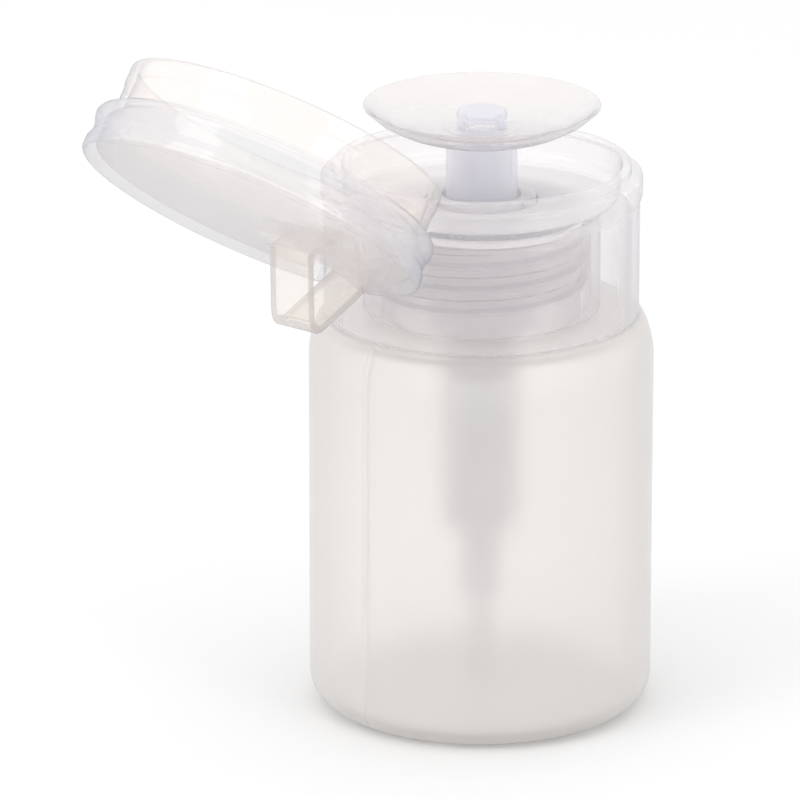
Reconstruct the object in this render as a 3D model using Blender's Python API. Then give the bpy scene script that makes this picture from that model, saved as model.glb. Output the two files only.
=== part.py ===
"""Push-down dispenser bottle with a screw collar, a press dish and a flip lid.

Run with: blender --background --python part.py
Sizes below are in millimetres. The object stands on the XY plane, its axis is +Z, and the
lid's hinge is at the back, on the +Y side. It is built with the lid open and the dish up.
"""
import math

import bmesh
import bpy
from mathutils import Matrix, Vector

MM = 0.001

# Bottle
BOTTLE_R = 22.0
WALL = 1.2
HEEL_R = 3.8
SHOULDER_Z = 46.0        # where the straight wall ends
SHOULDER_ARC = 12.0      # soft shoulder radius
NECK_BASE_Z = 51.7
NECK_TOP_Z = 63.6
NECK_R = 12.6
NECK_BORE = 11.2

# Screw thread, right hand
PITCH = 3.0
THREAD_H = 0.95
NECK_THREAD_Z = 54.4
COLLAR_THREAD_Z = NECK_THREAD_Z + PITCH / 2
NECK_TURNS = 2.25
COLLAR_TURNS = 1.75

# Collar
COLLAR_R = 20.05
COLLAR_BASE_Z = 52.0
RING_R = 20.4            # bump ring that the closed lid stands on
RING_TOP_Z = 70.2
LIP_R = 18.9
LIP_TOP_Z = 71.6
WELL_R = 17.7
DECK_TOP_Z = 66.8
DECK_Z = 65.8
DECK_HOLE_R = 7.2
SKIRT_R = 15.1
THREAD_ROOT_R = 13.95

# Pump
FLANGE_R = 12.9
BARREL_R = 6.7
BARREL_BORE = 5.8
CHAMBER_R = 5.1
CHAMBER_BORE = 4.3
CHAMBER_Z = (23.9, 49.0)
ROD_R = 1.9
ROD_BORE = 0.9
ROD_Z = (37.6, 72.2)
SPRING_Z = (25.1, 37.3)
SPRING_R = 3.1
WIRE_R = 0.35
SPRING_TURNS = 6

# Press dish
DISH_R = 15.1
DISH_RIM_Z = 79.1
SLEEVE_R = 4.6
NOZZLE_R = 3.15
NOZZLE_TOP_Z = 78.3
SLOT_W = 3.9
SLOT_Z = (76.45, 77.25)
SLOT_AZIMUTH = math.radians(40)

# Flip lid, given closed and then swung open about the hinge line
HINGE_Y = 20.9
HINGE_Z = 70.9
OPEN_ANGLE = math.radians(143.4)
LID_BASE_Z = 70.5        # rim plane of the closed lid
LID_TOP = 11.9           # height of the lid above its rim plane
POCKET_W = 7.3
POCKET_FLOOR = 9.9
POCKET_END_Y = 8.6
PAD_X = (3.9, 8.0)       # hinge pads, either side of the strap
PAD_Y = 20.4

# Hinge strap, as it hangs with the lid open: collar end, knee and lid end, in Y and Z
STRAP_W = 6.4
STRAP_T = 1.1
STRAP_COLLAR = Vector((0, 20.95, 63.9))
STRAP_KNEE = Vector((0, 36.5, 57.75))
STRAP_LID = Vector((0, 36.7, 68.55))


def clear_scene():
    for obj in list(bpy.data.objects):
        bpy.data.objects.remove(obj, do_unlink=True)


def material(name, color, rough, alpha=1.0, metallic=0.0):
    mat = bpy.data.materials.new(name)
    mat.use_nodes = True
    bsdf = mat.node_tree.nodes["Principled BSDF"]
    bsdf.inputs["Base Color"].default_value = (*color, 1.0)
    bsdf.inputs["Roughness"].default_value = rough
    bsdf.inputs["Metallic"].default_value = metallic
    bsdf.inputs["Alpha"].default_value = alpha
    mat.diffuse_color = (*color, alpha)
    return mat


def add_object(name, bm, mat=None, origin=(0, 0, 0)):
    """Make an object from bm, given in millimetres, with its origin at a point in millimetres."""
    origin = Vector(origin)
    bmesh.ops.translate(bm, verts=bm.verts, vec=-origin)
    bmesh.ops.scale(bm, verts=bm.verts, vec=(MM, MM, MM))
    bmesh.ops.recalc_face_normals(bm, faces=bm.faces)
    mesh = bpy.data.meshes.new(name)
    bm.to_mesh(mesh)
    bm.free()
    obj = bpy.data.objects.new(name, mesh)
    obj.location = origin * MM
    bpy.context.scene.collection.objects.link(obj)
    if mat:
        mesh.materials.append(mat)
        mesh.shade_smooth()
        mesh.set_sharp_from_angle(angle=math.radians(35))
    return obj


def lathe(profile, segments):
    """Turn a closed outline of (radius, height) points about Z. Points on the axis become poles."""
    bm = bmesh.new()
    rings = []
    for r, z in profile:
        if r == 0:
            rings.append([bm.verts.new((0, 0, z))])
        else:
            ring = []
            for i in range(segments):
                a = 2 * math.pi * i / segments
                ring.append(bm.verts.new((r * math.cos(a), r * math.sin(a), z)))
            rings.append(ring)
    for k, low in enumerate(rings):
        high = rings[(k + 1) % len(rings)]
        if len(low) == 1 and len(high) == 1:
            continue
        for i in range(segments):
            j = (i + 1) % segments
            corners = [low[i % len(low)], low[j % len(low)], high[j % len(high)], high[i % len(high)]]
            bm.faces.new(list(dict.fromkeys(corners)))
    return bm


def arc(cx, cz, radius, start, end, steps):
    """Points on a circle in the (radius, height) plane, angles in degrees."""
    points = []
    for i in range(steps + 1):
        a = math.radians(start + (end - start) * i / steps)
        points.append((cx + radius * math.cos(a), cz + radius * math.sin(a)))
    return points


def box(x, y, z):
    bm = bmesh.new()
    bmesh.ops.create_cube(bm, size=1)
    size = (x[1] - x[0], y[1] - y[0], z[1] - z[0])
    mid = ((x[0] + x[1]) / 2, (y[0] + y[1]) / 2, (z[0] + z[1]) / 2)
    bmesh.ops.scale(bm, verts=bm.verts, vec=size)
    bmesh.ops.translate(bm, verts=bm.verts, vec=mid)
    return bm


def ball(radius, z):
    bm = bmesh.new()
    bmesh.ops.create_uvsphere(bm, u_segments=16, v_segments=10, radius=radius)
    bmesh.ops.translate(bm, verts=bm.verts, vec=(0, 0, z))
    return bm


def extrude_x(outline, x0, x1):
    """Prism with a (y, z) outline, running from x0 to x1."""
    bm = bmesh.new()
    face = bm.faces.new([bm.verts.new((x0, y, z)) for y, z in outline])
    made = bmesh.ops.extrude_face_region(bm, geom=[face])["geom"]
    verts = [v for v in made if isinstance(v, bmesh.types.BMVert)]
    bmesh.ops.translate(bm, verts=verts, vec=(x1 - x0, 0, 0))
    return bm


def sweep(stations):
    """Skin a list of equal rings of points and cap both ends."""
    bm = bmesh.new()
    rows = [[bm.verts.new(p) for p in ring] for ring in stations]
    n = len(rows[0])
    for a, b in zip(rows, rows[1:]):
        for i in range(n):
            j = (i + 1) % n
            bm.faces.new((a[i], a[j], b[j], b[i]))
    bm.faces.new(rows[0])
    bm.faces.new(rows[-1])
    return bm


def thread(root, crest, z0, turns, start, segments):
    """Helical ridge from a radius inside the wall to its crest, run out at both ends."""
    steps = int(turns * segments)
    taper = segments // 10
    stations = []
    for i in range(steps + 1):
        a = start + 2 * math.pi * i / segments
        z = z0 + PITCH * (a - start) / (2 * math.pi)
        fade = min(1.0, i / taper, (steps - i) / taper)
        r = root + (crest - root) * (0.25 + 0.75 * fade)
        ring = []
        for radius, dz in ((root, -0.75), (r, -0.3), (r, 0.3), (root, 0.75)):
            ring.append((radius * math.cos(a), radius * math.sin(a), z + dz))
        stations.append(ring)
    return sweep(stations)


def coil(radius, wire, z0, z1, turns, segments=18, sides=6):
    """Open coil spring with its ends flattened to one wire thickness."""
    steps = turns * segments
    low, high = z0 + wire, z1 - wire
    dead = segments * 0.75
    stations = []
    for i in range(steps + 1):
        a = 2 * math.pi * i / segments
        t = min(1.0, max(0.0, (i - dead) / (steps - 2 * dead)))
        start_rise = 2.2 * wire * min(1.0, i / dead)
        end_rise = 2.2 * wire * min(1.0, (steps - i) / dead)
        z = (low + start_rise) * (1 - t) + (high - end_rise) * t
        ring = []
        for k in range(sides):
            b = 2 * math.pi * k / sides
            r = radius + wire * math.cos(b)
            ring.append((r * math.cos(a), r * math.sin(a), z + wire * math.sin(b)))
        stations.append(ring)
    return sweep(stations)


def boolean(target, tool, operation):
    """Add a Boolean modifier and keep its tool in the scene as a hidden cutter."""
    mod = target.modifiers.new(tool.name, "BOOLEAN")
    mod.operation = operation
    mod.object = tool
    tool.hide_render = True
    tool.display_type = "WIRE"
    tool.parent = target
    bpy.context.view_layer.update()
    tool.matrix_parent_inverse = target.matrix_world.inverted()


def pad(sign, inner_r, z0, z1):
    """Hinge pad: from inside a round wall out to a flat face across the hinge line."""
    bm = bmesh.new()
    xs = [PAD_X[0] + (PAD_X[1] - PAD_X[0]) * i / 4 for i in range(5)]
    outline = [(x, math.sqrt(inner_r ** 2 - x ** 2)) for x in xs]
    outline += [(PAD_X[1], PAD_Y), (PAD_X[0], PAD_Y)]
    face = bm.faces.new([bm.verts.new((sign * x, y, z0)) for x, y in outline])
    made = bmesh.ops.extrude_face_region(bm, geom=[face])["geom"]
    verts = [v for v in made if isinstance(v, bmesh.types.BMVert)]
    bmesh.ops.translate(bm, verts=verts, vec=(0, 0, z1 - z0))
    return bm


def link(start, end, trim):
    """Outline in (y, z) of a flat strap link with a round root, cut short by trim at its far end."""
    along = (end - start).normalized()
    side = Vector((0, -along.z, along.y)) * (STRAP_T / 2)
    base = math.atan2(along.z, along.y)
    outline = []
    for i in range(7):
        a = base + math.pi / 2 + math.pi * i / 6
        outline.append((start.y + STRAP_T / 2 * math.cos(a), start.z + STRAP_T / 2 * math.sin(a)))
    tip = end - along * trim
    outline.append(((tip - side).y, (tip - side).z))
    outline.append(((tip + side).y, (tip + side).z))
    return outline


def build_bottle(mat):
    shoulder = arc(BOTTLE_R - SHOULDER_ARC, SHOULDER_Z, SHOULDER_ARC, 0, 25.5, 4)
    inner_r = BOTTLE_R - WALL
    profile = [(0, 0)]
    profile += arc(BOTTLE_R - HEEL_R, HEEL_R, HEEL_R, -90, 0, 6)
    profile += shoulder
    profile += [(20.2, NECK_BASE_Z - 0.1), (19.6, NECK_BASE_Z), (NECK_R + 0.5, NECK_BASE_Z)]
    profile += [(NECK_R, NECK_BASE_Z + 0.5), (NECK_R, NECK_TOP_Z - 0.3), (NECK_R - 0.3, NECK_TOP_Z)]
    profile += [(NECK_BORE, NECK_TOP_Z), (NECK_BORE, NECK_BASE_Z - 0.7), (NECK_BORE + 0.6, NECK_BASE_Z - 1.3)]
    profile += [(18.6, NECK_BASE_Z - 1.4), (20.0, NECK_BASE_Z - 2.6), (inner_r, SHOULDER_Z)]
    profile += arc(BOTTLE_R - HEEL_R, HEEL_R, HEEL_R - WALL, 0, -90, 4)
    profile += [(0, WALL)]
    bottle = add_object("bottle", lathe(profile, 60), mat)
    ridge = thread(NECK_R - 0.4, NECK_R + THREAD_H, NECK_THREAD_Z, NECK_TURNS, 0.0, 36)
    boolean(bottle, add_object("neck_thread", ridge), "UNION")
    return bottle


def build_collar(mat):
    profile = [
        (COLLAR_R - 0.2, COLLAR_BASE_Z), (COLLAR_R, COLLAR_BASE_Z + 0.3), (COLLAR_R, 67.0),
        (RING_R, 67.5), (RING_R, RING_TOP_Z - 0.4), (RING_R - 0.3, RING_TOP_Z),
        (LIP_R, RING_TOP_Z), (LIP_R, LIP_TOP_Z - 0.3), (LIP_R - 0.3, LIP_TOP_Z),
        (WELL_R + 0.25, LIP_TOP_Z), (WELL_R, LIP_TOP_Z - 0.3), (WELL_R - 0.2, DECK_TOP_Z + 1.3),
        (WELL_R - 0.7, DECK_TOP_Z + 0.4), (WELL_R - 1.6, DECK_TOP_Z), (DECK_HOLE_R, DECK_TOP_Z),
        (DECK_HOLE_R, DECK_Z), (THREAD_ROOT_R, DECK_Z), (THREAD_ROOT_R, 52.9),
        (THREAD_ROOT_R + 0.3, 52.6), (SKIRT_R, 52.6), (SKIRT_R, DECK_Z - 0.3),
        (SKIRT_R + 0.5, DECK_Z), (COLLAR_R - 1.6, DECK_Z), (COLLAR_R - 1.05, DECK_Z - 0.6),
        (COLLAR_R - 1.05, COLLAR_BASE_Z + 0.3), (COLLAR_R - 0.8, COLLAR_BASE_Z),
    ]
    collar = add_object("collar", lathe(profile, 60), mat)
    ridge = thread(THREAD_ROOT_R + 0.4, THREAD_ROOT_R - THREAD_H, COLLAR_THREAD_Z, COLLAR_TURNS, 0.0, 36)
    boolean(collar, add_object("collar_thread", ridge), "UNION")
    for side, sign in (("left", -1), ("right", 1)):
        block = pad(sign, RING_R - 0.9, RING_TOP_Z - 1.8, RING_TOP_Z - 0.15)
        boolean(collar, add_object("collar_pad_" + side, block), "UNION")
    return collar


def build_hinge_films(mat):
    for side, sign in (("left", -1), ("right", 1)):
        xs = sorted((sign * (PAD_X[0] + 0.1), sign * (PAD_X[1] - 0.1)))
        strip = box(xs, (PAD_Y + 0.28, PAD_Y + 0.54), (RING_TOP_Z - 1.4, HINGE_Z - 0.25))
        add_object("hinge_film_" + side, strip, mat)


def build_lid(mat):
    b = LID_BASE_Z
    outer = [
        (0, b), (20.35, b), (20.5, b + 0.3), (20.5, b + 5.0), (20.75, b + 5.6), (21.9, b + 6.3),
        (22.25, b + 6.8), (22.2, b + 7.5), (21.95, b + 8.4), (21.85, b + 9.1), (22.0, b + 9.9),
        (22.25, b + 10.6), (22.25, b + 11.3), (21.9, b + 11.75), (21.3, b + LID_TOP), (0, b + LID_TOP),
    ]
    inner = [
        (0, b - 1), (19.55, b - 1), (19.45, b + 0.3), (19.4, b + 1.3), (19.2, b + 1.8), (19.4, b + 2.3),
        (19.45, b + 5.4), (19.75, b + 6.3), (20.7, b + 7.1), (20.85, b + 7.8), (20.85, b + 10.4),
        (20.4, b + 10.9), (0, b + 10.9),
    ]
    w = POCKET_W / 2
    lid = add_object("lid", lathe(outer, 64), mat, (0, HINGE_Y, HINGE_Z))
    cavity = add_object("lid_cavity", lathe(inner, 64))
    trough = box((-w - 0.9, w + 0.9), (POCKET_END_Y - 0.9, 24), (b + POCKET_FLOOR - 0.9, b + 13))
    side_wall = box((-w - 0.9, w + 0.9), (19.65, 24), (b + 3.4, b + 13))
    boolean(cavity, add_object("trough_wall", trough), "DIFFERENCE")
    boolean(cavity, add_object("notch_wall", side_wall), "DIFFERENCE")
    boolean(lid, cavity, "DIFFERENCE")
    pocket = box((-w, w), (POCKET_END_Y, 25), (b + POCKET_FLOOR, b + 14))
    notch = box((-w, w), (20.6, 25), (b + 4.3, b + 14.5))
    boolean(lid, add_object("pocket", pocket), "DIFFERENCE")
    boolean(lid, add_object("notch", notch), "DIFFERENCE")
    for side, sign in (("left", -1), ("right", 1)):
        boolean(lid, add_object("lid_pad_" + side, pad(sign, 19.9, b + 0.15, b + 1.9)), "UNION")
    lid.rotation_euler = (-OPEN_ANGLE, 0, 0)
    return lid


def build_strap(mat):
    half = STRAP_W / 2
    lower = extrude_x(link(STRAP_COLLAR, STRAP_KNEE, STRAP_T / 2 + 0.3), -half, half)
    add_object("strap_lower", lower, mat, STRAP_COLLAR)
    upper = extrude_x(link(STRAP_KNEE, STRAP_LID, 0.0), -half, half)
    add_object("strap_upper", upper, mat, STRAP_KNEE)


def build_dish(mat, cap_mat):
    profile = [
        (1.6, 75.95), (4.3, 75.95), (5.2, 76.1), (8.5, 76.45), (11.5, 77.2), (13.6, 78.2), (14.8, 79.0),
        (DISH_R - 0.1, DISH_RIM_Z), (DISH_R, 78.85), (13.2, 77.35), (11.2, 76.25), (9.0, 75.45),
        (7.0, 74.95), (5.4, 74.55), (SLEEVE_R - 0.15, 73.9), (SLEEVE_R, 68.0), (SLEEVE_R, 59.4),
        (3.95, 59.4), (3.75, 74.2), (2.9, 74.4), (2.9, 60.4), (2.2, 60.4), (2.2, 72.6), (1.6, 73.0),
    ]
    add_object("dish", lathe(profile, 48), mat)
    top = [
        (0, NOZZLE_TOP_Z), (NOZZLE_R - 0.25, NOZZLE_TOP_Z), (NOZZLE_R, NOZZLE_TOP_Z - 0.2),
        (NOZZLE_R, 76.2), (2.4, 76.2), (2.4, SLOT_Z[1] + 0.12), (0, SLOT_Z[1] + 0.12),
    ]
    cap = add_object("nozzle_cap", lathe(top, 40), cap_mat)
    for i in range(2):
        slot = box((-SLOT_W / 2, SLOT_W / 2), (-5, 5), SLOT_Z)
        turn = Matrix.Rotation(SLOT_AZIMUTH + i * math.pi / 2, 4, "Z")
        bmesh.ops.transform(slot, matrix=turn, verts=slot.verts)
        boolean(cap, add_object("nozzle_slot_%d" % (i + 1), slot), "DIFFERENCE")


def build_pump(mats):
    housing = [
        (BARREL_BORE, 65.5), (FLANGE_R, 65.5), (FLANGE_R, 64.8), (BARREL_R, 64.8), (BARREL_R, 50.6),
        (BARREL_R - 0.4, 50.0), (CHAMBER_R, CHAMBER_Z[1] + 0.2), (CHAMBER_R, CHAMBER_Z[0] - 0.3),
        (CHAMBER_R - 0.4, CHAMBER_Z[0] - 0.9), (2.95, 22.3), (2.95, 14.5), (2.05, 14.5), (2.05, 18.5),
        (1.0, 18.5), (1.0, 19.1), (1.95, 20.3), (1.95, 23.2), (2.6, CHAMBER_Z[0]),
        (CHAMBER_BORE, CHAMBER_Z[0]), (CHAMBER_BORE, CHAMBER_Z[1]), (BARREL_BORE, 50.2),
    ]
    add_object("pump_housing", lathe(housing, 32), mats["pump"])
    guide = [
        (4.95, 58.4), (5.5, 58.4), (5.5, 65.8), (6.85, 65.8), (6.85, 67.2), (6.55, 67.5), (5.25, 67.5),
        (4.95, 67.2),
    ]
    add_object("pump_guide", lathe(guide, 32), mats["guide"])
    rod = [
        (ROD_BORE, ROD_Z[0]), (3.5, ROD_Z[0]), (3.5, ROD_Z[0] + 1.0), (ROD_R, ROD_Z[0] + 1.6),
        (ROD_R, ROD_Z[1] - 0.3), (ROD_R - 0.3, ROD_Z[1]), (ROD_BORE, ROD_Z[1]),
    ]
    add_object("piston_rod", lathe(rod, 24), mats["rod"])
    piston = [
        (2.2, 43.8), (3.6, 43.8), (4.0, 44.1), (4.0, 45.0), (3.3, 45.5), (3.3, 46.5), (4.0, 47.0),
        (4.0, 47.9), (3.6, 48.2), (2.2, 48.2),
    ]
    add_object("piston_seal", lathe(piston, 28), mats["seal"])
    ring = [(2.2, 50.9), (5.1, 50.9), (5.5, 51.2), (5.5, 52.2), (5.1, 52.5), (2.2, 52.5)]
    add_object("rod_seal", lathe(ring, 28), mats["seal"])
    gasket = [(11.5, 63.9), (12.9, 63.9), (12.9, 64.5), (11.5, 64.5)]
    add_object("neck_gasket", lathe(gasket, 40), mats["gasket"])
    cage = [(1.2, 24.2), (3.9, 24.2), (3.9, 24.8), (1.2, 24.8)]
    add_object("inlet_cage", lathe(cage, 24), mats["guide"])
    spring = coil(SPRING_R, WIRE_R, SPRING_Z[0], SPRING_Z[1], SPRING_TURNS)
    add_object("return_spring", spring, mats["steel"])
    add_object("inlet_ball", ball(1.5, 20.85), mats["steel"], (0, 0, 20.85))
    add_object("outlet_ball", ball(1.2, 73.35), mats["steel"], (0, 0, 73.35))
    tube = [(1.15, 2.2), (1.75, 2.2), (1.75, 17.9), (1.15, 17.9)]
    add_object("dip_tube", lathe(tube, 20), mats["tube"])


def main():
    clear_scene()
    frosted = material("frosted_bottle", (0.86, 0.85, 0.83), 0.5, 0.75)
    clear = material("clear_closure", (0.87, 0.86, 0.86), 0.2, 0.45)
    lid_mat = material("clear_lid", (0.89, 0.88, 0.87), 0.2, 0.45)
    strap_mat = material("clear_strap", (0.86, 0.85, 0.85), 0.22, 0.5)
    film_mat = material("hinge_film", (0.88, 0.87, 0.87), 0.25, 0.5)
    dish_mat = material("clear_dish", (0.92, 0.91, 0.90), 0.18, 0.5)
    cap_mat = material("nozzle_plastic", (0.84, 0.84, 0.86), 0.25, 0.6)
    pump = {
        "pump": material("pump_plastic", (0.82, 0.82, 0.83), 0.35, 0.7),
        "guide": material("guide_plastic", (0.84, 0.84, 0.85), 0.35, 0.7),
        "rod": material("rod_plastic", (0.74, 0.74, 0.78), 0.3, 0.8),
        "seal": material("seal_rubber", (0.42, 0.42, 0.44), 0.55),
        "gasket": material("gasket_foam", (0.90, 0.90, 0.88), 0.8),
        "steel": material("spring_steel", (0.58, 0.58, 0.60), 0.3, 1.0, 1.0),
        "tube": material("tube_plastic", (0.86, 0.86, 0.86), 0.3, 0.55),
    }
    build_bottle(frosted)
    build_collar(clear)
    build_hinge_films(film_mat)
    build_lid(lid_mat)
    build_strap(strap_mat)
    build_dish(dish_mat, cap_mat)
    build_pump(pump)


main()
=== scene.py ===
"""Looks for the push-down dispenser bottle: smooth turned pieces in translucent plastic.

Pieces are drawn in millimetres, and make() turns them into metres. Turned pieces are closed
outlines of (radius, height) points, where a third number is the radius of a fillet. The camera,
the lamps and the ends of a blend are in metres.
"""
import bmesh
import bpy
import math
from mathutils import Matrix, Vector


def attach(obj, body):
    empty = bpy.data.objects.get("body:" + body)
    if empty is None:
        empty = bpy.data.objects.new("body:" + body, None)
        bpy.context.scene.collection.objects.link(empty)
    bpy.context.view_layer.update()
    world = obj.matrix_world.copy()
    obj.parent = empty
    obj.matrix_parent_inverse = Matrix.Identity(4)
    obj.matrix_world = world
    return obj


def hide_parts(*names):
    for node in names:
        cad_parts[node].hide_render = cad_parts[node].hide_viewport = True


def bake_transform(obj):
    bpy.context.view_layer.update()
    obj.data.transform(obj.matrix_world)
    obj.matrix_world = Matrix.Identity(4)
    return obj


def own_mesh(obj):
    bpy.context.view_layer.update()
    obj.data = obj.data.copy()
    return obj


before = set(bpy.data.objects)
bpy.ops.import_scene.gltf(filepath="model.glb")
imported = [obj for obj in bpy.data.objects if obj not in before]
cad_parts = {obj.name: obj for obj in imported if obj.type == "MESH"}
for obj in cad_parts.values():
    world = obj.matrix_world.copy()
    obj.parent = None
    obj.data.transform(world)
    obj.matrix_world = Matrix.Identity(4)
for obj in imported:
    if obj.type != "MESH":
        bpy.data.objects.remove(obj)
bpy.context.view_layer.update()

# ---------------------------------------------------------------- sizes

MM = 0.001
FULL_TURN = 2 * math.pi
FINE = 160  # segments round the bottle, the collar and the lid
DISH_SEGMENTS = 128
MEDIUM = 96  # segments round the nozzle, the barrel, the guide and the liner
COARSE = 64  # segments round the rod, the tube and the piston

BOTTLE_R, BOTTLE_WALL = 22.0, 1.2
HEEL_R = 3.8
SHOULDER_Z, SHOULDER_ARC = 46.0, 12.0
NECK_R, NECK_BORE = 12.6, 11.2
NECK_BASE_Z, NECK_TOP_Z = 51.7, 63.6
NECK_STRAIGHT = (52.3, 63.2)
SEAM_ANGLE = math.radians(87.5)
SEAM_HEIGHT, SEAM_HALF_ANGLE = 0.09, 0.010

PITCH, THREAD_HEIGHT, THREAD_STEP = 3.0, 0.8, 0.16
NECK_THREAD_Z, NECK_TURNS = 54.4, 2.75
COLLAR_THREAD_Z, COLLAR_TURNS = NECK_THREAD_Z + PITCH / 2, 2.4

COLLAR_BASE_Z, COLLAR_R, COLLAR_INNER_R = 52.0, 20.05, 19.0
SKIRT_BASE_Z, SKIRT_R, THREAD_ROOT_R = 52.6, 15.1, 13.95
RING_TOP_Z, RING_R = 70.2, 20.4
LIP_TOP_Z, LIP_R = 71.6, 18.9
DECK_Z, DECK_TOP_Z, DECK_HOLE_R = 65.8, 66.8, 7.2

HINGE = Vector((0, 20.9, 70.9))
OPEN_ANGLE = math.radians(143.4)
PAD_X, PAD_Y = (3.9, 8.0), 20.4
WEB_INSET, WEB_HALF = 0.1, 0.12
LID_BASE, LID_TOP = 70.5, 11.9
POCKET_HALF, POCKET_WALL = 3.65, 0.9
POCKET_TOP_Y, POCKET_SIDE_Y, POCKET_SIDE_WALL_Y = 8.6, 20.6, 19.65
POCKET_FLOOR, POCKET_FOOT = 9.9, 4.3

STRAP_W, STRAP_T, STRAP_BEVEL = 6.4, 1.1, 0.25
STRAP_COLLAR, STRAP_KNEE, STRAP_LID = (20.95, 63.9), (36.5, 57.75), (36.7, 68.55)
KNEE_REACH = 2.8

NOZZLE_TOP_Z, NOZZLE_R = 78.3, 3.15
SLOT_HALF, SLOT_REACH, SLOT_Z = 1.95, 5, (76.45, 77.25)
SLOT_ANGLE = 40

SPRING_Z = (25.1, 37.3)
SPRING_R, WIRE_R, SPRING_TURNS = 3.1, 0.35, 6

CAMERA_AZIMUTH = math.radians(220.13)
CAMERA_ELEVATION = math.radians(18.3)
CAMERA_DISTANCE = 0.900
LENS, SENSOR = 317.115, 36.0
AIM_Z, AIM_LEFT = 0.0398, 0.0103448
LAMP_AIM = (0, 0, 0.045)


# ---------------------------------------------------------------- mesh helpers

def make(name, bm):
    """An object from bm, whose coordinates are in millimetres."""
    bmesh.ops.scale(bm, verts=bm.verts, vec=(MM, MM, MM))
    bmesh.ops.recalc_face_normals(bm, faces=bm.faces)
    mesh = bpy.data.meshes.new(name)
    bm.to_mesh(mesh)
    bm.free()
    obj = bpy.data.objects.new(name, mesh)
    bpy.context.scene.collection.objects.link(obj)
    return obj


def smooth(obj, angle=32):
    """Smooth shading, sharp where faces meet at more than the angle in degrees."""
    obj.data.shade_smooth()
    obj.data.set_sharp_from_angle(angle=math.radians(angle))
    return obj


def apply_modifiers(obj, angle=32):
    """Replaces the mesh by what the modifiers make of it."""
    depsgraph = bpy.context.evaluated_depsgraph_get()
    mesh = bpy.data.meshes.new_from_object(obj.evaluated_get(depsgraph))
    obj.modifiers.clear()
    obj.data = mesh
    return smooth(obj, angle)


def fillet(before, corner, after, radius, steps):
    """Points of a round that replaces a corner, with the radius cut where an edge is too short."""
    back = before - corner
    ahead = after - corner
    half = back.angle(ahead) / 2
    reach = min(radius / math.tan(half), back.length * 0.49, ahead.length * 0.49)
    radius = reach * math.tan(half)
    start = corner + back.normalized() * reach
    end = corner + ahead.normalized() * reach
    bisector = (back.normalized() + ahead.normalized()).normalized()
    centre = corner + bisector * (radius / math.sin(half))
    a = start - centre
    b = end - centre
    points = []
    for k in range(steps + 1):
        t = k / steps
        spoke = (a * (1 - t) + b * t).normalized()
        points.append(tuple(centre + spoke * (a.length * (1 - t) + b.length * t)))
    return points


def rounded(points, steps=4):
    """Closed outline of (r, z) points, with a fillet where a third number gives its radius."""
    out = []
    for i, point in enumerate(points):
        corner = Vector(point[:2])
        if len(point) == 2:
            out.append(tuple(corner))
            continue
        before = Vector(points[i - 1][:2])
        after = Vector(points[(i + 1) % len(points)][:2])
        out += fillet(before, corner, after, point[2], steps)
    return out


def finer(points, low, high, step):
    """Splits the outline's long edges that lie between two heights."""
    out = []
    for i, p in enumerate(points):
        q = points[(i + 1) % len(points)]
        out.append(p)
        inside = low <= min(p[1], q[1]) and max(p[1], q[1]) <= high
        count = int(math.dist(p, q) / step) if inside else 1
        for k in range(1, count):
            out.append((p[0] + (q[0] - p[0]) * k / count, p[1] + (q[1] - p[1]) * k / count))
    return out


def arc(cx, cz, radius, start, end, steps):
    """Points of an arc round (cx, cz), between two angles in degrees."""
    angles = [math.radians(start + (end - start) * i / steps) for i in range(steps + 1)]
    return [(cx + radius * math.cos(a), cz + radius * math.sin(a)) for a in angles]


def ring_of_points(bm, r, z, angles, shape):
    """One ring of a turned piece, or a single point on the axis."""
    if r == 0:
        return [bm.verts.new((0, 0, z))]
    ring = []
    for a in angles:
        q = shape(r, z, a) if shape else r
        ring.append(bm.verts.new((q * math.cos(a), q * math.sin(a), z)))
    return ring


def turned(name, outline, segments, shape=None, extra=()):
    """Turns a closed (r, z) outline about Z. shape(r, z, angle) may change a radius."""
    angles = sorted({round(FULL_TURN * i / segments, 6) for i in range(segments)} | set(extra))
    bm = bmesh.new()
    rings = [ring_of_points(bm, r, z, angles, shape) for r, z in outline]
    for k, low in enumerate(rings):
        high = rings[(k + 1) % len(rings)]
        if len(low) == 1 and len(high) == 1:
            continue
        for i in range(len(angles)):
            j = (i + 1) % len(angles)
            face = [low[i % len(low)], low[j % len(low)], high[j % len(high)], high[i % len(high)]]
            bm.faces.new(list(dict.fromkeys(face)))
    return smooth(make(name, bm))


def box_mesh(x, y, z):
    """Box between two values on each axis."""
    bm = bmesh.new()
    bmesh.ops.create_cube(bm, size=1)
    bmesh.ops.scale(bm, verts=bm.verts, vec=[high - low for low, high in (x, y, z)])
    bmesh.ops.translate(bm, verts=bm.verts, vec=[(low + high) / 2 for low, high in (x, y, z)])
    return bm


def prism(outline, low, high):
    """Prism of a flat (x, y) outline between two heights."""
    bm = bmesh.new()
    a = [bm.verts.new((x, y, low)) for x, y in outline]
    b = [bm.verts.new((x, y, high)) for x, y in outline]
    bm.faces.new(a)
    bm.faces.new(list(reversed(b)))
    for i in range(len(a)):
        j = (i + 1) % len(a)
        bm.faces.new((a[i], b[i], b[j], a[j]))
    return bm


def loft(rows):
    """Closed skin over rows of the same number of (x, y, z) points, capped at both ends."""
    bm = bmesh.new()
    rings = [[bm.verts.new(point) for point in row] for row in rows]
    for a, b in zip(rings, rings[1:]):
        for i in range(len(a)):
            j = (i + 1) % len(a)
            bm.faces.new((a[i], a[j], b[j], b[i]))
    bm.faces.new(rings[0])
    bm.faces.new(rings[-1])
    return bm


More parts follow.
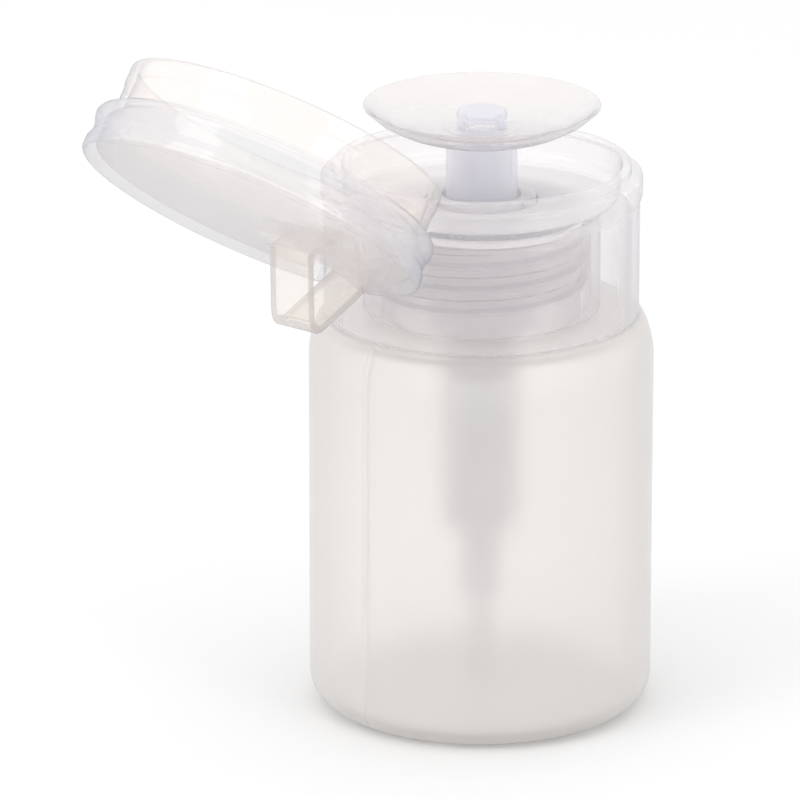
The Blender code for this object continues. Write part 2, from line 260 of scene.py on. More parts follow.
def flat_bar(line, across, half):
    """Bar of even thickness along a (y, z) line, between two values of x."""
    near, far = across
    rows = []
    for i, p in enumerate(line):
        along = (line[min(i + 1, len(line) - 1)] - line[max(i - 1, 0)]).normalized()
        side = Vector((-along.y, along.x)) * half
        corners = [(near, p + side), (far, p + side), (far, p - side), (near, p - side)]
        rows.append([(x, q.x, q.y) for x, q in corners])
    return loft(rows)


def carve(obj, tools):
    """Applies exact Booleans, (operation, tool) in turn, and removes the tools."""
    for operation, tool in tools:
        mod = obj.modifiers.new("cut", "BOOLEAN")
        mod.operation = operation
        mod.object = tool
    apply_modifiers(obj)
    for _, tool in tools:
        bpy.data.objects.remove(tool, do_unlink=True)
    return obj


def soften(obj, width, segments, angle):
    """Bevels the edges that are sharper than the angle in degrees."""
    mod = obj.modifiers.new("bevel", "BEVEL")
    mod.width = width * MM
    mod.segments = segments
    mod.limit_method = "ANGLE"
    mod.angle_limit = math.radians(angle)
    return apply_modifiers(obj, 40)


def swing_open(obj):
    """Moves a piece drawn on the closed lid to where it is with the lid open."""
    pivot = HINGE * MM
    turn = Matrix.Rotation(-OPEN_ANGLE, 4, "X")
    obj.data.transform(Matrix.Translation(pivot) @ turn @ Matrix.Translation(-pivot))
    return obj


def ridge(z, angle, z0, turns, half_top=0.14, slope=0.36, run_out=0.7):
    """Height, 0 to 1, of a helical thread that starts at angle 0 and height z0."""
    best = 0.0
    end = turns * FULL_TURN
    for k in range(int(turns) + 1):
        at = angle % FULL_TURN + FULL_TURN * k
        if at > end:
            break
        fade = min(1.0, at / run_out, (end - at) / run_out)
        off = abs(z - (z0 + PITCH * at / FULL_TURN))
        best = max(best, fade * min(1.0, max(0.0, (half_top + slope - off) / slope)))
    return best


# ---------------------------------------------------------------- shader helpers

def new_material(name):
    mat = bpy.data.materials.new(name)
    mat.use_nodes = True
    tree = mat.node_tree
    tree.nodes.clear()
    return mat, tree


def node(tree, kind, x=0, y=0, **settings):
    """A node of the kind at (x, y), with its settings."""
    new = tree.nodes.new(kind)
    new.location = (x, y)
    for key, value in settings.items():
        setattr(new, key, value)
    return new


def set_inputs(new, **values):
    """Constants on a node's inputs, whose names have _ for a space."""
    for key, value in values.items():
        new.inputs[key.replace("_", " ")].default_value = value


def grain(tree, scale, detail, stretch=(1, 1, 1)):
    """Noise fixed to the object."""
    coord = node(tree, "ShaderNodeTexCoord", -1500)
    mapping = node(tree, "ShaderNodeMapping", -1300)
    noise = node(tree, "ShaderNodeTexNoise", -1100)
    set_inputs(mapping, Scale=stretch)
    set_inputs(noise, Scale=scale, Detail=detail)
    tree.links.new(coord.outputs["Object"], mapping.inputs["Vector"])
    tree.links.new(mapping.outputs["Vector"], noise.inputs["Vector"])
    return noise.outputs["Fac"]


def ramp(tree, source, low, high, a, b):
    """Linear map of a value from low..high to a..b, clamped."""
    span = node(tree, "ShaderNodeMapRange", -800)
    set_inputs(span, From_Min=low, From_Max=high, To_Min=a, To_Max=b)
    tree.links.new(source, span.inputs["Value"])
    return span.outputs["Result"]


def varied(tree, speck, value):
    """The value, a little lower or higher with the specks."""
    return ramp(tree, speck, 0.3, 0.7, value * 0.8, value * 1.25)


def tint(tree, source, dark, light):
    """Colour from dark to light as the source goes from 0 to 1."""
    mix = node(tree, "ShaderNodeMix", -500, data_type="RGBA")
    set_inputs(mix, A=(*dark, 1), B=(*light, 1))
    tree.links.new(source, mix.inputs["Factor"])
    return mix.outputs["Result"]


def multiply(tree, a, b):
    product = node(tree, "ShaderNodeMath", -400, operation="MULTIPLY", use_clamp=True)
    tree.links.new(a, product.inputs[0])
    tree.links.new(b, product.inputs[1])
    return product.outputs[0]


def edge_on(tree, power):
    """How edge-on a surface is seen, 0 to 1, raised to a power."""
    facing = node(tree, "ShaderNodeLayerWeight", -1100, 400)
    set_inputs(facing, Blend=0.5)
    raised = node(tree, "ShaderNodeMath", -900, 400, operation="POWER")
    raised.inputs[1].default_value = power
    tree.links.new(facing.outputs["Facing"], raised.inputs[0])
    return raised.outputs[0]


def relief(tree, speck, strength, depth):
    """Normal roughened by the specks."""
    bump = node(tree, "ShaderNodeBump", -300, -300)
    set_inputs(bump, Strength=strength, Distance=depth)
    tree.links.new(speck, bump.inputs["Height"])
    return bump.outputs["Normal"]


def blended(tree, first, second, x):
    """Mix of two shaders. Its Fac is left for the caller."""
    mix = node(tree, "ShaderNodeMixShader", x)
    tree.links.new(first, mix.inputs[1])
    tree.links.new(second, mix.inputs[2])
    return mix


def milky(tree, colour, normal, glow):
    """The scattering part, of which glow is the share of light passed on to the other side."""
    front = node(tree, "ShaderNodeBsdfDiffuse")
    through = node(tree, "ShaderNodeBsdfTranslucent", 0, -200)
    for shader in (front, through):
        tree.links.new(colour, shader.inputs["Color"])
        tree.links.new(normal, shader.inputs["Normal"])
    body = blended(tree, front.outputs[0], through.outputs[0], 200)
    set_inputs(body, Fac=glow)
    return body.outputs[0]


def see_through(tree, near, deep, rim):
    """The clear part, with one tint head on and another edge on."""
    clear = node(tree, "ShaderNodeBsdfTransparent", 200, 300)
    tree.links.new(tint(tree, edge_on(tree, rim), near, deep), clear.inputs["Color"])
    return clear.outputs[0]


def blurred(tree, haze):
    """The see-through part of a frosted wall."""
    clear = node(tree, "ShaderNodeBsdfRefraction", 200, 300)
    set_inputs(clear, IOR=1.2, Roughness=haze, Color=(1.0, 0.99, 0.98, 1.0))
    return clear.outputs[0]


def gloss(tree, speck, normal, rough):
    shine = node(tree, "ShaderNodeBsdfGlossy", 400, -300)
    tree.links.new(varied(tree, speck, rough), shine.inputs["Roughness"])
    tree.links.new(normal, shine.inputs["Normal"])
    return shine.outputs[0]


def plastic(name, dark, light, face, edge, rough, glow=0.4, near=(0.992, 0.988, 0.982),
            deep=(0.52, 0.53, 0.57), flow=0.05, bump=0.02, fine=1400.0, haze=None, rim=5.0, sheen=0.9):
    """Translucent moulded plastic.

    face and edge are how solid it looks head on and edge on, near and deep are the tints of what
    is seen through it head on and edge on, glow is the share of light that it passes on scattered,
    and haze is the roughness of the see-through part, clear if None. A higher rim keeps the deep
    tint nearer the outline, flow is how much the solidity wanders, fine is the scale of the
    specks, and sheen is the share of gloss edge on.
    """
    mat, tree = new_material(name)
    cloud = grain(tree, 90.0, 2.0, (1, 1, 0.4))
    speck = grain(tree, fine, 2.0)
    normal = relief(tree, speck, bump, 0.0002)
    body = milky(tree, tint(tree, edge_on(tree, 4.0), light, dark), normal, glow)
    clear = see_through(tree, near, deep, rim) if haze is None else blurred(tree, haze)
    veil = blended(tree, clear, body, 400)
    solidity = ramp(tree, edge_on(tree, 2.0), 0.0, 1.0, face, edge)
    wander = ramp(tree, cloud, 0.3, 0.7, 1.0 - flow, 1.0 + flow)
    tree.links.new(multiply(tree, solidity, wander), veil.inputs["Fac"])
    out = blended(tree, veil.outputs[0], gloss(tree, speck, normal, rough), 600)
    tree.links.new(ramp(tree, edge_on(tree, 5.0), 0.0, 1.0, 0.04, sheen), out.inputs["Fac"])
    end = node(tree, "ShaderNodeOutputMaterial", 800)
    tree.links.new(out.outputs[0], end.inputs["Surface"])
    return mat


def solid(name, dark, light, rough, scale, metallic=0.0, bump=0.05):
    """Opaque material with a fine grain in its colour and gloss."""
    mat, tree = new_material(name)
    speck = grain(tree, scale, 3.0)
    skin = node(tree, "ShaderNodeBsdfPrincipled")
    set_inputs(skin, Metallic=metallic)
    colour = tint(tree, ramp(tree, speck, 0.3, 0.7, 0, 1), dark, light)
    tree.links.new(colour, skin.inputs["Base Color"])
    tree.links.new(varied(tree, speck, rough), skin.inputs["Roughness"])
    tree.links.new(relief(tree, speck, bump, 0.0001), skin.inputs["Normal"])
    end = node(tree, "ShaderNodeOutputMaterial", 300)
    tree.links.new(skin.outputs[0], end.inputs["Surface"])
    return mat


def dress(obj, mat, body, replaces):
    """Gives a piece its material and its body (None for a blended piece), and hides the CAD nodes that it
    replaces.
    """
    obj.data.materials.clear()
    obj.data.materials.append(mat)
    if body:
        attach(obj, body)
    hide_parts(*replaces)
    return obj


def second_material(obj, mat, chosen):
    """Puts another material on the faces that chosen() picks."""
    obj.data.materials.append(mat)
    for face in obj.data.polygons:
        if chosen(face):
            face.material_index = len(obj.data.materials) - 1


# ---------------------------------------------------------------- bottle

def bottle_outline():
    """Up the outside to the lip of the neck, and down the inside."""
    heel = BOTTLE_R - HEEL_R
    outline = [(0, 0), (17.6, 0)] + arc(heel, HEEL_R, HEEL_R, -84, 0, 12)
    outline += arc(BOTTLE_R - SHOULDER_ARC, SHOULDER_Z, SHOULDER_ARC, 0, 25.5, 8)
    outline += [(20.5, 51.55), (20.1, NECK_BASE_Z), (13.2, NECK_BASE_Z), (12.75, 51.85)]
    outline += [(NECK_R, NECK_STRAIGHT[0]), (NECK_R, NECK_STRAIGHT[1])]
    outline += [(12.5, 63.5), (12.2, NECK_TOP_Z), (11.4, NECK_TOP_Z), (NECK_BORE, 63.4)]
    outline += [(NECK_BORE, 51.2), (11.4, 50.7), (11.9, 50.45), (18.6, 50.3), (19.6, 49.8)]
    outline += [(20.3, 48.7), (BOTTLE_R - BOTTLE_WALL, SHOULDER_Z)]
    return outline + arc(heel, HEEL_R, HEEL_R - BOTTLE_WALL, 0, -90, 8) + [(0, BOTTLE_WALL)]


def bottle_skin(r, z, angle):
    """The neck's thread and the two fine parting lines of the mould."""
    if abs(r - NECK_R) < 0.01 and NECK_STRAIGHT[0] + 0.1 < z < NECK_STRAIGHT[1]:
        return r + THREAD_HEIGHT * ridge(z, angle, NECK_THREAD_Z, NECK_TURNS)
    if r > NECK_R + 0.1 and z > 0.2:
        off = min(abs(angle - SEAM_ANGLE), abs(angle - SEAM_ANGLE - math.pi))
        return r + SEAM_HEIGHT * max(0.0, 1 - off / SEAM_HALF_ANGLE)
    return r


def make_bottle():
    seam = []
    for middle in (SEAM_ANGLE, SEAM_ANGLE + math.pi):
        seam += [middle + step for step in (-0.012, -0.006, 0.0, 0.006, 0.012)]
    outline = finer(bottle_outline(), NECK_STRAIGHT[0] - 0.01, NECK_STRAIGHT[1] + 0.01, THREAD_STEP)
    return turned("frosted_bottle", outline, FINE, bottle_skin, seam)


def on_neck(face):
    return face.center.z > (NECK_BASE_Z + 0.2) * MM


def on_thread(face):
    """Picks the upper sides of the threads, which get a darker copy of the plastic as painted shade."""
    if not 53.0 < face.center.z / MM < 65.0:
        return False
    return 0.4 < face.normal.z < 0.99 and face.center.xy.length < 14.0 * MM


# Picks the parting lines, whose ridges are real and whose darker, more solid copy of the frosted plastic
# is painted shade.
def on_parting_line(face):
    off = abs(face.center.x * math.sin(SEAM_ANGLE) - face.center.y * math.cos(SEAM_ANGLE))
    return off < 0.22 * MM and face.center.xy.length > 18.0 * MM and face.center.z > 0.5 * MM


# ---------------------------------------------------------------- collar

def pad_outline(sign, inner):
    """Flat outline of a hinge pad: an arc of the inner radius, and a straight outer edge."""
    xs = [PAD_X[0] + (PAD_X[1] - PAD_X[0]) * i / 5 for i in range(6)]
    points = [(x, math.sqrt(inner ** 2 - x ** 2)) for x in xs]
    points += [(PAD_X[1], PAD_Y), (PAD_X[0], PAD_Y)]
    return [(sign * x, y) for x, y in points]


def pads(inner, low, high):
    """The two hinge pads between two heights, as tools to unite."""
    tools = []
    for sign in (-1, 1):
        tools.append(("UNION", make("pad", prism(pad_outline(sign, inner), low, high))))
    return tools


def collar_outline():
    """Outer wall, lip round the well, floor of the well with its hole, and threaded skirt."""
    outline = rounded([
        (19.85, COLLAR_BASE_Z, 0.2), (COLLAR_R, 52.1, 0.1), (COLLAR_R, 67.0, 0.5),
        (RING_R, 67.5, 0.3), (RING_R, RING_TOP_Z, 0.45), (LIP_R, RING_TOP_Z, 0.15),
        (LIP_R, LIP_TOP_Z, 0.3), (17.75, LIP_TOP_Z, 0.3), (17.5, DECK_TOP_Z, 1.4),
        (DECK_HOLE_R, DECK_TOP_Z, 0.2), (DECK_HOLE_R, DECK_Z, 0.2), (THREAD_ROOT_R, DECK_Z, 0.5),
        (THREAD_ROOT_R, SKIRT_BASE_Z, 0.3), (SKIRT_R, SKIRT_BASE_Z, 0.3), (SKIRT_R, DECK_Z, 0.5),
        (COLLAR_INNER_R, DECK_Z, 0.7), (COLLAR_INNER_R, COLLAR_BASE_Z, 0.2)])
    return finer(outline, SKIRT_BASE_Z + 0.2, DECK_Z - 0.4, THREAD_STEP)


def collar_skin(r, z, angle):
    """The thread inside the skirt."""
    if abs(r - THREAD_ROOT_R) < 0.01:
        return r - THREAD_HEIGHT * ridge(z, angle, COLLAR_THREAD_Z, COLLAR_TURNS)
    return r


def make_collar():
    collar = turned("screw_collar", collar_outline(), FINE, collar_skin)
    return carve(collar, pads(19.5, 68.4, 70.05))


def on_deck(face):
    """Picks the floor of the well and the hole in it."""
    floor = DECK_TOP_Z - 0.1 < face.center.z / MM < DECK_TOP_Z + 0.2 and face.normal.z > 0.5
    return floor or face.center.xy.length < (DECK_HOLE_R + 0.3) * MM


# ---------------------------------------------------------------- lid

def on_lid(points):
    """Rounded outline whose heights are given above the base of the closed lid."""
    return rounded([(r, LID_BASE + h, *radius) for r, h, *radius in points], 6)


def lid_outside():
    """Skirt, ledge, and the waisted band below the top."""
    return on_lid([
        (0, 0), (20.5, 0, 0.35), (20.5, 2.4, 0.1), (20.35, 2.65, 0.1), (20.35, 5.4, 0.35),
        (21.9, 6.25, 0.4), (22.3, 6.9, 0.3), (22.2, 7.5, 0.6), (21.85, 8.5, 0.8),
        (21.85, 9.5, 0.6), (22.25, 10.4, 0.4), (22.25, LID_TOP, 0.6), (0, LID_TOP)])


def lid_inside():
    """Cavity, with the bead that snaps over the collar's lip."""
    return on_lid([
        (0, -1), (19.5, -1), (19.4, 1.3, 0.3), (19.2, 1.8, 0.3), (19.4, 2.3, 0.3),
        (19.45, 5.9, 0.5), (20.85, 7.1, 0.5), (20.85, 10.9, 0.7), (0, 10.9)])


def lid_boxes(name, half, spans):
    """Boxes across the lid's middle as tools to cut, from (near y, far y, low, high) spans."""
    tools = []
    for near, far, low, high in spans:
        box = box_mesh((-half, half), (near, far), (LID_BASE + low, LID_BASE + high))
        tools.append(("DIFFERENCE", make(name, box)))
    return tools


def make_lid():
    """Shell with a pocket for the strap in its top and side, drawn closed and swung open."""
    wall = POCKET_WALL
    lid = turned("flip_lid", lid_outside(), FINE)
    cavity = turned("cavity", lid_inside(), FINE)
    carve(cavity, lid_boxes("wall", POCKET_HALF + wall, [
        (POCKET_TOP_Y - wall, 24, POCKET_FLOOR - wall, 13),
        (POCKET_SIDE_WALL_Y, 24, POCKET_FOOT - wall, 13)]))
    cuts = lid_boxes("cut", POCKET_HALF, [
        (POCKET_TOP_Y, 25, POCKET_FLOOR, 14),
        (POCKET_SIDE_Y, 25, POCKET_FOOT, 14.5)])
    tools = [("DIFFERENCE", cavity)] + cuts + pads(19.9, LID_BASE + 0.15, LID_BASE + 1.9)
    return swing_open(carve(lid, tools))


def on_shaded_band_of_lid(face):
    """Picks the lid's wall from the ledge to the corner of its top, which gets a darker, bluish copy of
    the lid plastic as painted shade.
    """
    closed = Matrix.Rotation(OPEN_ANGLE, 3, "X") @ (face.center / MM - HINGE) + HINGE
    return closed.z > LID_BASE + 6.2 and closed.xy.length > 20.7


# ---------------------------------------------------------------- strap and webs

def strap_line():
    """Middle line: straight from the collar, round the knee, and straight to the lid."""
    collar_end, knee, lid_end = (Vector(p) for p in (STRAP_COLLAR, STRAP_KNEE, STRAP_LID))
    start = knee + (collar_end - knee).normalized() * KNEE_REACH
    end = knee + (lid_end - knee).normalized() * KNEE_REACH
    line = [collar_end + (start - collar_end) * t / 8 for t in range(8)]
    for i in range(9):
        t = i / 8
        line.append(start * (1 - t) ** 2 + knee * 2 * t * (1 - t) + end * t ** 2)
    return line + [end + (lid_end - end) * t / 5 for t in range(1, 6)]


def make_strap():
    """One moulded strap with a rounded knee."""
    bar = flat_bar(strap_line(), (STRAP_W / 2, -STRAP_W / 2), STRAP_T / 2)
    return soften(make("hinge_strap", bar), STRAP_BEVEL, 3, 50)


def on_shaded_strap_face(face):
    """Picks the strap's sides and its level underside, which get a darker copy of the strap plastic as
    painted shade.
    """
    return abs(face.normal.x) > 0.6 or face.normal.z < -0.95


def make_film(side, sign):
    """Thin web that bends from a pad of the collar to one of the lid."""
    path = [(20.42, 69.2), (20.46, 69.9), (20.62, 70.5), (20.86, 71.0), (21.02, 71.3)]
    path += [(21.3, 71.0), (21.66, 70.5)]
    across = (sign * (PAD_X[0] + WEB_INSET), sign * (PAD_X[1] - WEB_INSET))
    bar = flat_bar([Vector(p) for p in path], across, -WEB_HALF)
    return smooth(make("hinge_web_" + side, bar), 60)


# ---------------------------------------------------------------- pump

def make_dish():
    """Shallow dish that is pressed down, with its hollow stem."""
    return turned("press_dish", rounded([
        (1.6, 75.95, 0.2), (4.2, 75.95, 0.6), (5.2, 76.12, 1.0), (8.5, 76.45, 3.0), (11.5, 77.2, 3.0),
        (13.6, 78.2, 2.0), (14.85, 79.1, 0.3), (15.1, 79.05, 0.15), (13.2, 77.35, 2.0),
        (11.2, 76.25, 3.0), (9.0, 75.45, 3.0), (7.0, 74.95, 2.0), (4.5, 74.3, 0.7), (4.5, 71.0, 2.0),
        (4.6, 66.0), (4.6, 59.4, 0.2), (3.95, 59.4, 0.2), (3.75, 74.3, 0.4), (2.9, 74.3, 0.3),
        (2.9, 60.4, 0.2), (2.2, 60.4, 0.2), (2.2, 72.6, 0.2), (1.6, 73.0, 0.2)], 5), DISH_SEGMENTS)


def on_stem(face):
    return face.center.z < 75.0 * MM and face.center.xy.length < 5.0 * MM


def make_nozzle():
    """Small cap in the middle of the dish, with two crossed slots for the liquid."""
    cap = turned("nozzle", rounded([
        (0, NOZZLE_TOP_Z), (NOZZLE_R, NOZZLE_TOP_Z, 0.25), (NOZZLE_R, 76.2, 0.1),
        (2.4, 76.2, 0.1), (2.4, 77.37, 0.2), (0, 77.37)]), MEDIUM)
    tools = []
    for angle in (SLOT_ANGLE, SLOT_ANGLE + 90):
        slot = box_mesh((-SLOT_HALF, SLOT_HALF), (-SLOT_REACH, SLOT_REACH), SLOT_Z)
        turn = Matrix.Rotation(math.radians(angle), 3, "Z")
        bmesh.ops.rotate(slot, verts=slot.verts, cent=(0, 0, 0), matrix=turn)
        tools.append(("DIFFERENCE", make("slot", slot)))
    return carve(cap, tools)


def make_housing():
    """Barrel with a flange on top, the narrower chamber, and the tail that holds the dip tube."""
    return turned("barrel", rounded([
        (5.8, 65.5, 0.15), (12.9, 65.5, 0.2), (12.9, 64.8, 0.2), (6.7, 64.8, 0.4), (6.7, 50.6, 0.5),
        (5.1, 49.2, 0.5), (5.1, 23.6, 0.6), (2.95, 22.3, 0.5), (2.95, 14.5, 0.15), (2.05, 14.5, 0.15),
        (2.05, 18.5, 0.1), (1.0, 18.5, 0.1), (1.0, 19.1, 0.1), (1.95, 20.3, 0.2), (1.95, 23.2, 0.2),
        (2.6, 23.9, 0.2), (4.3, 23.9, 0.3), (4.3, 49.0, 0.3), (5.8, 50.2, 0.3)]), MEDIUM)


def make_guide():
    """Ring that guides the stem through the floor of the well."""
    return turned("guide_ring", rounded([
        (4.95, 58.4, 0.1), (5.5, 58.4, 0.1), (5.5, 65.8, 0.2), (6.85, 65.8, 0.15), (6.85, 67.5, 0.3),
        (4.95, 67.5, 0.3)]), MEDIUM)


def make_rod():
    """Hollow rod with a foot that the spring pushes on."""
    return turned("hollow_rod", rounded([
        (0.9, 37.6, 0.1), (3.5, 37.6, 0.15), (3.5, 38.7, 0.3), (1.9, 39.2, 0.3), (1.9, 72.2, 0.3),
        (0.9, 72.2, 0.1)]), COARSE)


def make_tube():
    return turned("suction_tube", rounded([
        (1.15, 2.2, 0.1), (1.75, 2.2, 0.15), (1.75, 17.9, 0.15), (1.15, 17.9, 0.1)]), COARSE)


def make_piston():
    """Waisted seal on the rod."""
    return turned("piston", rounded([
        (2.2, 43.8, 0.2), (4.0, 43.8, 0.3), (3.3, 46.0, 1.0), (4.0, 48.2, 0.3),
        (2.2, 48.2, 0.2)]), COARSE)


def make_liner():
    """Flat washer between the neck and the flange."""
    return turned("liner", rounded([
        (11.5, 63.9, 0.1), (12.9, 63.9, 0.1), (12.9, 64.5, 0.1), (11.5, 64.5, 0.1)]), MEDIUM)


def wire_section(angle, z, sides=10):
    """Points round the wire where it passes an angle at height z."""
    points = []
    for k in range(sides):
        b = FULL_TURN * k / sides
        r = SPRING_R + WIRE_R * math.cos(b)
        points.append((r * math.cos(angle), r * math.sin(angle), z + WIRE_R * math.sin(b)))
    return points


def make_spring():
    """Open coil spring of round wire, with its end turns lying flat."""
    low = SPRING_Z[0] + WIRE_R
    high = SPRING_Z[1] - WIRE_R
    around = 28
    steps = SPRING_TURNS * around
    flat = around * 0.75
    rows = []
    for i in range(steps + 1):
        t = min(1.0, max(0.0, (i - flat) / (steps - 2 * flat)))
        bottom = low + 2.2 * WIRE_R * min(1.0, i / flat)
        top = high - 2.2 * WIRE_R * min(1.0, (steps - i) / flat)
        rows.append(wire_section(FULL_TURN * i / around, bottom * (1 - t) + top * t))
    return smooth(make("coil_spring", loft(rows)))


# ---------------------------------------------------------------- materials

frosted = plastic("frosted_polypropylene", (0.955, 0.94, 0.925), (0.985, 0.967, 0.950), 0.34, 0.85, 0.40,
                  glow=0.5, flow=0.02, bump=0.10, fine=2200.0, haze=0.45)
# Darker, more solid copy of the frosted plastic, put on the real parting-line ridges as painted shade.
seam = plastic("parting_line_painted_shade_polypropylene", (0.80, 0.785, 0.77), (0.86, 0.84, 0.82), 0.60, 0.85, 0.40,
               glow=0.4, flow=0.02, bump=0.10, fine=2200.0, haze=0.42)
clear = plastic("clear_polypropylene", (0.84, 0.83, 0.86), (0.95, 0.935, 0.935), 0.12, 0.55, 0.09,
                near=(0.990, 0.983, 0.984))
lid_clear = plastic("lid_polypropylene", (0.66, 0.65, 0.69), (0.97, 0.925, 0.90), 0.10, 0.32, 0.09,
                    near=(0.981, 0.968, 0.958), deep=(0.36, 0.37, 0.43), rim=8.0, sheen=0.55)
# Darker, bluish, more solid copy of the lid plastic, put on the band between the ledge and the top as
# painted shade.
painted_band_shade = plastic("lid_painted_band_shade_polypropylene", (0.52, 0.54, 0.61), (0.76, 0.76, 0.79), 0.20, 0.60, 0.09,
                   near=(0.945, 0.940, 0.940), deep=(0.34, 0.36, 0.43), rim=5.0, sheen=0.7)
strap_clear = plastic("strap_polypropylene", (0.70, 0.69, 0.69), (0.90, 0.87, 0.84), 0.16, 0.70, 0.10,
                      near=(0.965, 0.952, 0.935), deep=(0.40, 0.40, 0.41))
# Darker, more solid copy of the strap plastic, put on the strap's sides and underside as painted shade.
painted_strap_shade = plastic("strap_painted_shade_polypropylene", (0.56, 0.54, 0.54), (0.64, 0.61, 0.60), 0.50, 0.75, 0.12,
                     near=(0.86, 0.84, 0.83), deep=(0.40, 0.40, 0.41))
dish_clear = plastic("dish_polypropylene", (0.70, 0.71, 0.77), (0.94, 0.91, 0.895), 0.14, 0.52, 0.07,
                     near=(0.938, 0.926, 0.922), rim=7.0)
stem_clear = plastic("stem_polypropylene", (0.96, 0.96, 0.985), (0.94, 0.935, 0.96), 0.34, 0.85, 0.12,
                     near=(0.972, 0.972, 0.982), deep=(0.80, 0.80, 0.84))
neck_clear = plastic("neck_polypropylene", (0.72, 0.71, 0.75), (0.90, 0.885, 0.89), 0.34, 0.70, 0.20,
                     near=(0.978, 0.972, 0.974), deep=(0.55, 0.55, 0.60))
# Darker, more solid copy of the clear plastic, put on the upper sides of the threads as painted shade.
painted_thread_shade = plastic("thread_painted_shade_polypropylene", (0.34, 0.34, 0.40), (0.48, 0.47, 0.52), 0.60, 0.90, 0.15,
                near=(0.90, 0.89, 0.90), deep=(0.45, 0.45, 0.50), sheen=0.4)
deck_clear = plastic("deck_polypropylene", (0.90, 0.89, 0.90), (0.95, 0.94, 0.94), 0.22, 0.60, 0.12,
                     near=(0.985, 0.980, 0.980), deep=(0.85, 0.85, 0.87), sheen=0.5)
nozzle_clear = plastic("nozzle_polypropylene", (0.72, 0.73, 0.80), (0.88, 0.88, 0.92), 0.24, 0.70, 0.09,
                       near=(0.96, 0.96, 0.975))
core = plastic("rod_polypropylene", (0.64, 0.65, 0.72), (0.82, 0.83, 0.88), 0.32, 0.70, 0.20,
               near=(0.95, 0.955, 0.975))
inner = plastic("pump_polypropylene", (0.60, 0.61, 0.66), (0.74, 0.74, 0.78), 0.14, 0.50, 0.25,
                near=(0.925, 0.930, 0.945), deep=(0.65, 0.66, 0.70), sheen=0.4)
foam = solid("foam_liner", (0.90, 0.90, 0.89), (0.94, 0.94, 0.93), 0.75, 1800.0, bump=0.3)
rubber = solid("seal_rubber", (0.10, 0.10, 0.11), (0.14, 0.14, 0.15), 0.5, 1200.0)
steel = solid("spring_steel", (0.28, 0.28, 0.29), (0.36, 0.36, 0.37), 0.28, 900.0, metallic=1.0)

# ---------------------------------------------------------------- assembly

bottle = dress(make_bottle(), frosted, "bottle", ["bottle"])
second_material(bottle, neck_clear, on_neck)
second_material(bottle, painted_thread_shade, on_thread)
second_material(bottle, seam, on_parting_line)
collar = dress(make_collar(), clear, "collar", ["collar"])
second_material(collar, painted_thread_shade, on_thread)
second_material(collar, deck_clear, on_deck)
lid = dress(make_lid(), lid_clear, "lid", ["lid"])
second_material(lid, painted_band_shade, on_shaded_band_of_lid)
press_dish = dress(make_dish(), dish_clear, "actuator", ["dish"])
second_material(press_dish, stem_clear, on_stem)
dress(make_nozzle(), nozzle_clear, "actuator", ["nozzle_cap"])

strap = dress(make_strap(), strap_clear, None, ["strap_lower", "strap_upper"])
second_material(strap, painted_strap_shade, on_shaded_strap_face)
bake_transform(strap)
for side, sign in (("left", -1), ("right", 1)):
    name = "hinge_film_" + side
    film = dress(make_film(side, sign), lid_clear, None, [name])
    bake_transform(film)

dress(make_housing(), inner, "pump_core", ["pump_housing"])
dress(make_guide(), deck_clear, "pump_core", ["pump_guide"])
dress(make_tube(), inner, "pump_core", ["dip_tube"])
dress(make_liner(), foam, "pump_core", ["neck_gasket"])
dress(make_rod(), core, "actuator", ["piston_rod"])
dress(make_piston(), rubber, "actuator", ["piston_seal"])
spring = dress(make_spring(), steel, "pump_core", ["return_spring"])
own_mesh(spring)

for name, mat in (("inlet_cage", inner), ("rod_seal", inner),
                  ("inlet_ball", steel), ("outlet_ball", core)):
    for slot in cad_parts[name].material_slots:
        slot.material = mat

# ---------------------------------------------------------------- stage

scene = bpy.context.scene


def add_floor():
    floor = make("floor", box_mesh((-3000, 3000), (-3000, 3000), (-20, -0.05)))
    paper = solid("floor_paper", (0.72, 0.72, 0.72), (0.74, 0.74, 0.74), 0.9, 3.0, bump=0.0)
    floor.data.materials.append(paper)


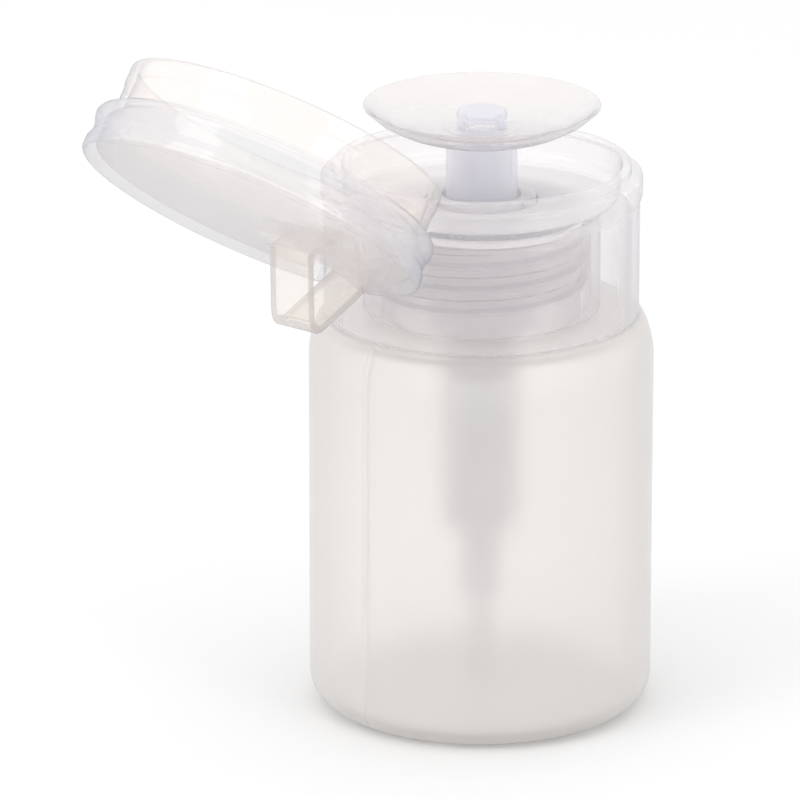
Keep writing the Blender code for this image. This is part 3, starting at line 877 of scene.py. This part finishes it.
def add_sky():
    """Even white surroundings, a little cooler towards the horizon."""
    world = bpy.data.worlds.new("studio")
    scene.world = world
    world.use_nodes = True
    sky = world.node_tree
    direction = node(sky, "ShaderNodeTexCoord", -900)
    height = node(sky, "ShaderNodeSeparateXYZ", -700)
    sky.links.new(direction.outputs["Generated"], height.inputs[0])
    rise = ramp(sky, height.outputs["Z"], 0.0, 1.0, 0.0, 1.0)
    shade = tint(sky, rise, (0.92, 0.92, 0.93), (1.0, 1.0, 1.0))
    sky.links.new(shade, sky.nodes["Background"].inputs["Color"])
    set_inputs(sky.nodes["Background"], Strength=1.23)


def direction_from(azimuth, elevation):
    """Unit vector towards a place seen from the object, for angles in radians."""
    level = math.cos(elevation)
    return Vector((math.sin(azimuth) * level, -math.cos(azimuth) * level, math.sin(elevation)))


def add_lamp(name, azimuth, elevation, distance, size, energy):
    """Soft rectangular lamp, for angles in degrees."""
    data = bpy.data.lights.new(name, "AREA")
    data.shape = "RECTANGLE"
    data.size, data.size_y = size
    data.energy = energy
    lamp = bpy.data.objects.new(name, data)
    away = direction_from(math.radians(azimuth), math.radians(elevation))
    lamp.location = Vector(LAMP_AIM) + away * distance
    lamp.rotation_euler = away.to_track_quat("Z", "Y").to_euler()
    scene.collection.objects.link(lamp)


def add_camera():
    """Long lens, aimed a little beside the bottle so that the open lid fits in."""
    data = bpy.data.cameras.new("camera")
    data.sensor_width = SENSOR
    data.lens = LENS
    data.clip_start = 0.05
    data.clip_end = 20.0
    camera = bpy.data.objects.new("camera", data)
    scene.collection.objects.link(camera)
    right = Vector((math.cos(CAMERA_AZIMUTH), math.sin(CAMERA_AZIMUTH), 0))
    aim = Vector((0, 0, AIM_Z)) - right * AIM_LEFT
    camera.location = aim + direction_from(CAMERA_AZIMUTH, CAMERA_ELEVATION) * CAMERA_DISTANCE
    camera.rotation_euler = (math.pi / 2 - CAMERA_ELEVATION, 0, CAMERA_AZIMUTH)
    scene.camera = camera


def set_rendering():
    """Plain colours, and enough bounces to see through all the walls of the lid and the collar."""
    scene.view_settings.view_transform = "Standard"
    scene.cycles.transparent_max_bounces = 48
    scene.cycles.max_bounces = 16
    scene.cycles.transmission_bounces = 16
    scene.cycles.use_denoising = True


add_floor()
add_sky()
add_lamp("top", 220, 80, 0.9, (1.0, 1.0), 1.1)
add_lamp("left", 165, 30, 0.8, (0.4, 0.6), 1.6)
add_lamp("right", 265, 25, 0.8, (0.3, 0.6), 0.8)
add_camera()
set_rendering()
